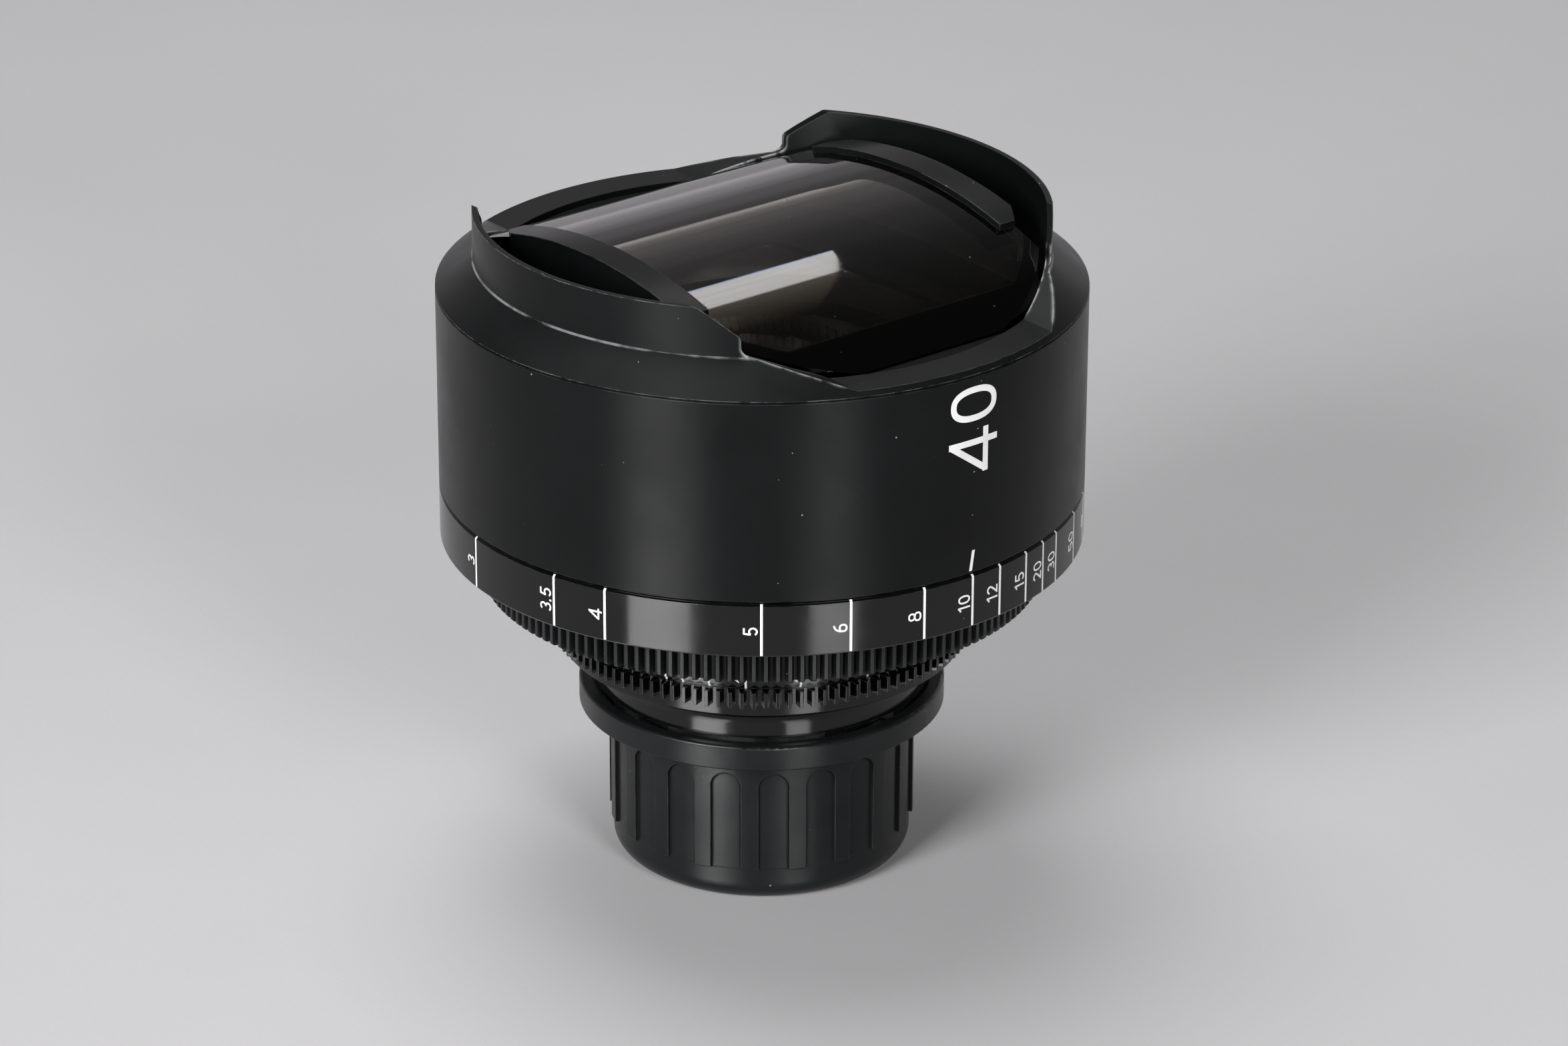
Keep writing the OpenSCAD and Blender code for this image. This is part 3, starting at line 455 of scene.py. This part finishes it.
def make_inner_glass():
    return polished_glass("inner_glass_coated", tint=(0.90, 0.90, 0.86, 1), ior=1.5)[0]


def make_metal(name, dark, light, rough, turned=False):
    """Bare or plain anodised metal: an uneven tone, handled roughness, and lathe rings if turned."""
    made, tree, shader = start(name, Metallic=1.0)
    grain = use(tree, GRAIN, Grain=2800.0)
    height = use(tree, TURNING, Pitch=4500.0)["Height"] if turned else grain["Height"]
    put(tree, shader.inputs["Base Color"], toned(tree, grain, dark, light))
    handle(tree, shader, rough)
    bump(tree, shader, height, deep=2e-6, eased=1.5e-4)
    return made


def make_paint():
    """White engraving paint: nearly even, a little thin in places."""
    thin, full = (0.70, 0.70, 0.69, 1), (0.88, 0.88, 0.87, 1)
    made, tree, shader = start("engraving_white", Specular_IOR_Level=0.3)
    grain = use(tree, GRAIN, Grain=5200.0, Drift=160.0)
    put(tree, shader.inputs["Base Color"], toned(tree, grain, thin, full, span=(0.25, 0.6)))
    handle(tree, shader, rough=(0.45, 0.6))
    bump(tree, shader, grain["Height"], deep=2e-6, eased=2e-5)
    return made


GREY_METAL = make_metal("grey_aluminium", dark=(0.16, 0.16, 0.17, 1), light=(0.24, 0.24, 0.25, 1),
                        rough=(0.35, 0.5), turned=True)
BARE_METAL = make_metal("bare_aluminium", dark=(0.52, 0.52, 0.53, 1), light=(0.66, 0.66, 0.67, 1),
                        rough=(0.28, 0.42), turned=True)
MOUNT_STEEL = make_metal("mount_steel", dark=(0.48, 0.48, 0.49, 1), light=(0.62, 0.62, 0.63, 1),
                         rough=(0.20, 0.34), turned=True)
SCREW_STEEL = make_metal("screw_steel", dark=(0.20, 0.20, 0.21, 1), light=(0.30, 0.30, 0.31, 1),
                         rough=(0.30, 0.45))
BLACK_STEEL = make_metal("blackened_steel", dark=(0.012, 0.012, 0.013, 1), light=(0.022, 0.022, 0.023, 1),
                         rough=(0.35, 0.5))
BLADE_STEEL = make_metal("blade_steel", dark=(0.03, 0.03, 0.032, 1), light=(0.05, 0.05, 0.053, 1),
                         rough=(0.35, 0.5))
WHITE = make_paint()

# The nodes that each finish goes on
FINISH = {
    make_satin(): ["outer_barrel", "clamp_bar_near", "clamp_bar_far", "rear_guard"],
    make_baffle(): ["front_cell", "aperture_mask", "taking_cell", "taking_retainer", "carriage_retainer",
                    "iris_base", "iris_cover", "rear_cell", "rear_retainer", "guard_retainer"],
    make_hood(): ["front_hood"],
    make_gloss(): ["focus_ring", "iris_ring", "rear_barrel"],
    make_gear(): ["focus_gear"],
    make_rubber(): ["rear_cap"],
    make_front_glass(): ["front_glass"],
    make_inner_glass(): ["carriage_lens", "taking_crown", "taking_flint", "rear_crown", "rear_flint",
                         "rear_lens"],
    GREY_METAL: ["core_tube", "focus_carriage"],
    BARE_METAL: ["cam_sleeve", "mount_shim", "lower_washer", "upper_washer"],
    MOUNT_STEEL: ["lens_mount"],
    SCREW_STEEL: ["core_screws", "gear_screws", "mount_screws", "follower_pins", "iris_drive_pin"],
    BLACK_STEEL: ["clamp_screws", "cell_screws", "barrel_screws"],
    BLADE_STEEL: ["iris_actuator"] + [name for name in NODES if name.startswith("iris_blade_")],
}
for material, names in FINISH.items():
    for name in names:
        NODES[name].data.materials.clear()
        NODES[name].data.materials.append(material)

# Steps of a pen stroke, and the power of a figure's rounded loops
LINE_POINTS = 13
BOW_POINTS = 25
LOOP_POINTS = 40
LOOP_POWER = 2.4


# Painted marks: pen strokes, each a path and whether it closes on itself
def line(a, b):
    """A straight stroke from a to b, in short steps so that it follows the barrel."""
    share = np.linspace(0, 1, LINE_POINTS)[:, None]
    return np.array(a) * (1 - share) + np.array(b) * share, False


def bow(cx, cy, rx, ry, start_deg, end_deg):
    """An arc of an ellipse about (cx, cy), from start_deg to end_deg."""
    t = np.radians(np.linspace(start_deg, end_deg, BOW_POINTS))
    return np.column_stack([cx + rx * np.cos(t), cy + ry * np.sin(t)]), False


def loop(cx, cy, rx, ry):
    """A closed rounded loop about (cx, cy), |x / rx|^p + |y / ry|^p = 1 with p = LOOP_POWER."""
    t = np.linspace(0, 2 * math.pi, LOOP_POINTS, endpoint=False)
    c, s = np.cos(t), np.sin(t)
    x = cx + rx * np.sign(c) * np.abs(c) ** (2 / LOOP_POWER)
    y = cy + ry * np.sign(s) * np.abs(s) ** (2 / LOOP_POWER)
    return np.column_stack([x, y]), True


def joined(*parts):
    """One open stroke that runs through several."""
    return np.vstack([points for points, _ in parts]), False


# Each figure is a set of pen strokes in a box one high; the number is how far the pen moves on
FIGURES = {
    "0": ([loop(0.30, 0.5, 0.22, 0.42)], 0.68),
    "1": ([line((0.34, 0.0), (0.34, 1.0)), line((0.36, 0.95), (0.12, 0.76))], 0.56),
    "2": ([joined(bow(0.30, 0.70, 0.21, 0.22, 165, -40), line((0.44, 0.52), (0.10, 0.08))),
           line((0.03, 0.08), (0.56, 0.08))], 0.66),
    "3": ([bow(0.27, 0.70, 0.20, 0.22, 150, -90), bow(0.27, 0.29, 0.22, 0.21, 90, -150)], 0.64),
    "4": ([line((0.50, 0.0), (0.50, 1.0)), line((0.50, 0.96), (0.06, 0.28)),
           line((0.0, 0.25), (0.70, 0.25))], 0.80),
    "5": ([line((0.52, 0.92), (0.14, 0.92)), line((0.16, 0.96), (0.10, 0.48)),
           bow(0.29, 0.33, 0.22, 0.25, 140, -150)], 0.66),
    "6": ([loop(0.30, 0.31, 0.21, 0.23), bow(0.50, 0.40, 0.41, 0.52, 178, 92)], 0.68),
    "8": ([loop(0.33, 0.72, 0.20, 0.20), loop(0.33, 0.29, 0.25, 0.21)], 0.74),
    ".": ([line((0.10, 0.0), (0.10, 0.17))], 0.28),
    "inf": ([loop(0.24, 0.40, 0.17, 0.20), loop(0.62, 0.40, 0.17, 0.20)], 0.90),
}


def ribbon(path, closed, width):
    """A pen stroke's two edges: the path moved half the width to each side along its normal."""
    if closed:
        way = np.roll(path, -1, 0) - np.roll(path, 1, 0)
    else:
        way = np.gradient(path, axis=0)
    way = way / np.linalg.norm(way, axis=1, keepdims=True)
    side = np.column_stack([-way[:, 1], way[:, 0]]) * width / 2
    return path + side, path - side


def slab(left, right, closed, place):
    """A painted stroke as a closed slab: two edges, each at the low and the high side of the paint film.
    place(u, v, lift) puts the stroke's flat coordinates on the surface."""
    corners = [(left, -PAINT_SINK), (left, PAINT_LIFT), (right, PAINT_LIFT), (right, -PAINT_SINK)]
    rails = [place(edge[:, 0], edge[:, 1], lift) for edge, lift in corners]
    points = np.stack(rails, axis=1).reshape(-1, 3)
    n, sides = len(left), len(rails)
    rail = np.arange(sides)
    after = (rail + 1) % sides
    step = np.arange(n if closed else n - 1)[:, None]
    here, there = sides * step, sides * ((step + 1) % n)
    faces = np.stack([here + rail, here + after, there + after, there + rail], axis=-1).reshape(-1, 4)
    if not closed:
        faces = np.vstack([faces, rail[::-1], rail + sides * (n - 1)])
    return points, faces


def strip(path, width, place):
    """A straight mark: the path, half the width to each side of it round the barrel."""
    side = np.array([0, width / 2])
    return slab(path + side, path - side, False, place)


def on_barrel(radius, angle_deg, z):
    """Wraps flat strokes on a cylinder: u runs up the axis from z, v runs back round it from the angle."""
    def place(u, v, lift):
        turn = math.radians(angle_deg) - np.asarray(v) / radius
        r = radius + lift
        return np.column_stack([r * np.cos(turn), r * np.sin(turn), z + np.asarray(u)])
    return place


def upright(width, low, high, radius, angle_deg):
    """A line up the axis from low to high on a cylinder."""
    return strip(np.array([[0, 0], [high - low, 0]]), width, on_barrel(radius, angle_deg, low))


def dial_line(angle_deg, width, low, high):
    """A line up the dial and over most of its top bevel, carried along the ring's profile."""
    bevel_left = 0.1
    rise = np.array([low, high - DIAL_BREAK, high - bevel_left * DIAL_BREAK])
    radius = np.array([BARREL_R, BARREL_R, BARREL_R - (1 - bevel_left) * DIAL_BREAK])

    def place(u, v, lift):
        turn = math.radians(angle_deg) - np.asarray(v) / BARREL_R
        r = np.interp(u, rise, radius) + lift
        return np.column_stack([r * np.cos(turn), r * np.sin(turn), u])
    return strip(np.column_stack([rise, np.zeros(len(rise))]), width, place)


def figures(text, height, pen, place, middle=0.5):
    """Strokes of a number: each figure's paths scaled to the height, one after another along the line;
    middle is the share of the number that lies before the place."""
    signs = ["inf"] if text == "inf" else list(text)
    total = sum(FIGURES[sign][1] for sign in signs) * height * FIGURE_WIDE
    at = -total * middle
    made = []
    for sign in signs:
        strokes, advance = FIGURES[sign]
        for path, closed in strokes:
            left, right = ribbon(path * [height * FIGURE_WIDE, height] + [at, 0], closed, pen)
            made.append(slab(left, right, closed, place))
        at += advance * height * FIGURE_WIDE
    return made


def piece(name, slabs, body, material):
    """One painted piece from many slabs, their points and faces run together as whole arrays."""
    offsets = np.cumsum([0] + [len(points) for points, _ in slabs[:-1]])
    points = np.vstack([points for points, _ in slabs])
    faces = np.vstack([quads + offset for (_, quads), offset in zip(slabs, offsets)])
    mesh = bpy.data.meshes.new(name)
    mesh.from_pydata(points, [], faces.tolist())
    mesh.materials.append(material)
    made = bpy.data.objects.new(name, mesh)
    bpy.context.scene.collection.objects.link(made)
    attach(made, body)
    return made


def make_focus_scale():
    """Each distance's line up the dial, with its number beside it, reading up the barrel."""
    height, pen = 3.2 * MM, 0.40 * MM
    width, gap, foot = 0.55 * MM, 0.42 * MM, 0.35 * MM
    middle = (DIAL_LOW.z + DIAL_HIGH.z) / 2
    slabs = []
    for text, angle in FOCUS_MARKS:
        slabs.append(dial_line(angle, width, DIAL_LOW.z + foot, DIAL_HIGH.z))
        base = angle - math.degrees((gap + width / 2) / BARREL_R)
        slabs += figures(text, height, pen, on_barrel(BARREL_R, base, middle))
    return piece("focus_scale", slabs, "focus_ring", WHITE)


def make_stop_scale():
    """Each stop's line runs through the groove above the teeth and up the band, with its number beside it."""
    height, pen = 2.5 * MM, 0.38 * MM
    width, gap, tall, rise = 0.45 * MM, 0.5 * MM, 3.2 * MM, 0.75 * MM
    slabs = []
    for text, angle in STOP_MARKS:
        slabs.append(upright(width, IRIS_GROOVE_LOW, IRIS_GROOVE_HIGH, IRIS_GROOVE_R, angle))
        slabs.append(upright(width, IRIS_GROOVE_HIGH, IRIS_GROOVE_HIGH + tall, IRIS_BAND_R, angle))
        base = angle - math.degrees((gap + width / 2) / IRIS_BAND_R)
        slabs += figures(text, height, pen, on_barrel(IRIS_BAND_R, base, IRIS_GROOVE_HIGH + rise), middle=0.0)
    return piece("stop_scale", slabs, "iris_ring", WHITE)


def make_barrel_marks():
    """The focus index, a short leaning tick, and a plain focal number that reads up the barrel."""
    low, high = BARREL_LOW.z + 0.7 * MM, BARREL_LOW.z + 5.3 * MM
    lean, width = 0.7 * MM, 0.75 * MM
    number_z, number_deg = 121.5 * MM, 5.0
    height, pen = 13.0 * MM, 1.40 * MM
    tick = np.array([[0, lean], [high - low, 0]])
    slabs = [strip(tick, width, on_barrel(BARREL_R, 0.0, low))]
    slabs += figures("40", height, pen, on_barrel(BARREL_R, number_deg, number_z))
    return piece("barrel_marks", slabs, "lens_body", WHITE)


make_focus_scale()
make_stop_scale()
make_barrel_marks()

# Studio: sizes in metres; a shade or tone goes with its place along the strip or up the wall
FLOOR_HALF = 6.0
LENS_MIDDLE = (0.0, 0.0, 0.09)
GRID_DEG = 100.0
STRIP_PLACE = Vector((-0.405, 0.536, 0.833))
STRIP_TILT = math.radians(53.0)
STRIP_SHADES = [
    (0.0, (0.35, 0.50, 1.0, 1)), (0.03, (1.0, 0.985, 0.97, 1)), (0.43, (0.98, 0.96, 0.93, 1)),
    (0.46, (0.13, 0.112, 0.09, 1)), (0.62, (0.075, 0.062, 0.047, 1)), (1.0, (0.0, 0.0, 0.0, 1))]
WALL_WAY = (-0.777, 0.629, 0.0)
WALL_TONES = [
    (0.0, grey(0.80)), (0.08, grey(0.60)), (0.18, grey(0.36)), (0.30, grey(0.22)), (0.46, grey(0.18)),
    (0.62, grey(0.10)), (0.76, grey(0.0))]

# The photograph's camera, with its lens and sensor in millimetres
CAMERA_PLACE = Vector((0.90513, -0.73298, 0.58267))
CAMERA_AHEAD = Vector((-0.7102, 0.5800, -0.3989)).normalized()
CAMERA_ROLL = math.radians(0.19)
CAMERA_LENS = 133.81
CAMERA_SENSOR = 36.0
CAMERA_NEAR = 0.01


def make_floor():
    """A pale floor, dull to the eye; what the lens mirrors of it is polished, with the same colour."""
    dark, light = (0.43, 0.425, 0.435, 1), (0.46, 0.455, 0.465, 1)
    corners = [(x * FLOOR_HALF, y * FLOOR_HALF, 0) for x, y in ((-1, -1), (1, -1), (1, 1), (-1, 1))]
    mesh = bpy.data.meshes.new("studio_floor")
    mesh.from_pydata(corners, [], [(0, 1, 2, 3)])
    made = bpy.data.objects.new("studio_floor", mesh)
    bpy.context.scene.collection.objects.link(made)
    material, tree, dull = start("studio_top", Roughness=0.7, Specular_IOR_Level=0.03)
    polished = add(tree, "ShaderNodeBsdfPrincipled", {"Roughness": 0.06, "IOR": 2.2})
    colour = toned(tree, use(tree, GRAIN, Grain=900.0, Drift=6.0), dark, light, span=(0.2, 0.8))
    for shader in (dull, polished):
        put(tree, shader.inputs["Base Color"], colour)
    seen = add(tree, "ShaderNodeLightPath").outputs["Is Camera Ray"]
    both = add(tree, "ShaderNodeMixShader", {0: seen, 1: polished.outputs[0], 2: dull.outputs[0]})
    put(tree, tree.nodes["Material Output"].inputs["Surface"], both.outputs[0])
    mesh.materials.append(material)


def make_world():
    """A pale mottled wall behind the lens that darkens with height, and a dim room around it."""
    room_colour, wall_colour = (0.032, 0.031, 0.030, 1), (1.0, 0.96, 1.0, 1)
    band_scale, band_least = (1.5, 1.5, 14.0), 0.78
    wall_none, wall_full = 0.1, 0.6
    world = bpy.data.worlds.new("studio")
    world.use_nodes = True
    tree = world.node_tree
    look = add(tree, "ShaderNodeTexCoord").outputs["Generated"]
    height = add(tree, "ShaderNodeSeparateXYZ", {0: look}).outputs["Z"]
    bands = noise(tree, stretched(tree, look, band_scale), 1.0, detail=3.0)
    mottle = ramp(tree, bands, *NOISE_SPAN, band_least, 1.0)
    behind = ramp(tree, dot(tree, look, WALL_WAY), wall_none, wall_full)
    wall = times(tree, times(tree, shades_along(tree, height, WALL_TONES), mottle), behind)
    put(tree, tree.nodes["Background"].inputs["Color"], blend_colour(tree, wall, room_colour, wall_colour))
    bpy.context.scene.world = world


def make_lamp(name, place, target, size, watts, spread_deg=180.0, through_glass=True):
    """A soft box: a flat rectangle lamp at place, facing target, its light held within a grid's spread."""
    data = bpy.data.lights.new(name, "AREA")
    data.shape = "RECTANGLE"
    data.size, data.size_y = size
    data.energy = watts
    data.spread = math.radians(spread_deg)
    made = bpy.data.objects.new(name, data)
    made.location = place
    made.visible_transmission = through_glass
    made.rotation_euler = (Vector(target) - Vector(place)).to_track_quat("-Z", "Y").to_euler()
    bpy.context.scene.collection.objects.link(made)
    return data


def make_strip():
    """The strip lamp that the front glass mirrors, from its low end up: a blue edge, a bright streaked
    stretch, then a warm tail that fades."""
    ahead = Vector((math.cos(STRIP_TILT), 0, -math.sin(STRIP_TILT)))
    streak_scale, streak_low, streak_high = (1.2, 60.0, 0.0), 0.8, 1.05
    data = make_lamp("strip_box", STRIP_PLACE, STRIP_PLACE + ahead, size=(0.133, 0.253), watts=0.47,
                     through_glass=False)
    data.use_nodes = True
    tree = data.node_tree
    spot = add(tree, "ShaderNodeNewGeometry").outputs["Parametric"]
    up = add(tree, "ShaderNodeSeparateXYZ", {0: spot}).outputs["Y"]
    streaks = noise(tree, stretched(tree, spot, streak_scale), 1.0, detail=3.0)
    emission = tree.nodes["Emission"]
    put(tree, emission.inputs["Color"], shades_along(tree, up, STRIP_SHADES))
    put(tree, emission.inputs["Strength"], ramp(tree, streaks, *NOISE_SPAN, streak_low, streak_high))


def make_camera():
    """The photograph's camera: its place, its direction and a small roll."""
    right = CAMERA_AHEAD.cross(Vector((0, 0, 1))).normalized()
    up = right.cross(CAMERA_AHEAD)
    across = math.cos(CAMERA_ROLL) * right + math.sin(CAMERA_ROLL) * up
    above = math.cos(CAMERA_ROLL) * up - math.sin(CAMERA_ROLL) * right
    data = bpy.data.cameras.new("camera")
    data.sensor_fit = "HORIZONTAL"
    data.sensor_width = CAMERA_SENSOR
    data.lens = CAMERA_LENS
    data.clip_start = CAMERA_NEAR
    made = bpy.data.objects.new("camera", data)
    turn = Matrix((across, above, -CAMERA_AHEAD)).transposed().to_4x4()
    made.matrix_world = Matrix.Translation(CAMERA_PLACE) @ turn
    bpy.context.scene.collection.objects.link(made)
    bpy.context.scene.camera = made


make_floor()
make_world()
make_lamp("left_box", place=(0.395, -1.447, 0.78), target=LENS_MIDDLE, size=(0.62, 0.7), watts=10.0,
          spread_deg=GRID_DEG)
make_lamp("right_box", place=(1.510, -0.390, 0.80), target=LENS_MIDDLE, size=(0.44, 0.7), watts=4.4,
          spread_deg=GRID_DEG)
make_lamp("top_box", place=(-0.80, 0.15, 2.4), target=LENS_MIDDLE, size=(1.6, 1.6), watts=46.0)
make_strip()
make_camera()
bpy.context.scene.view_settings.view_transform = "Standard"
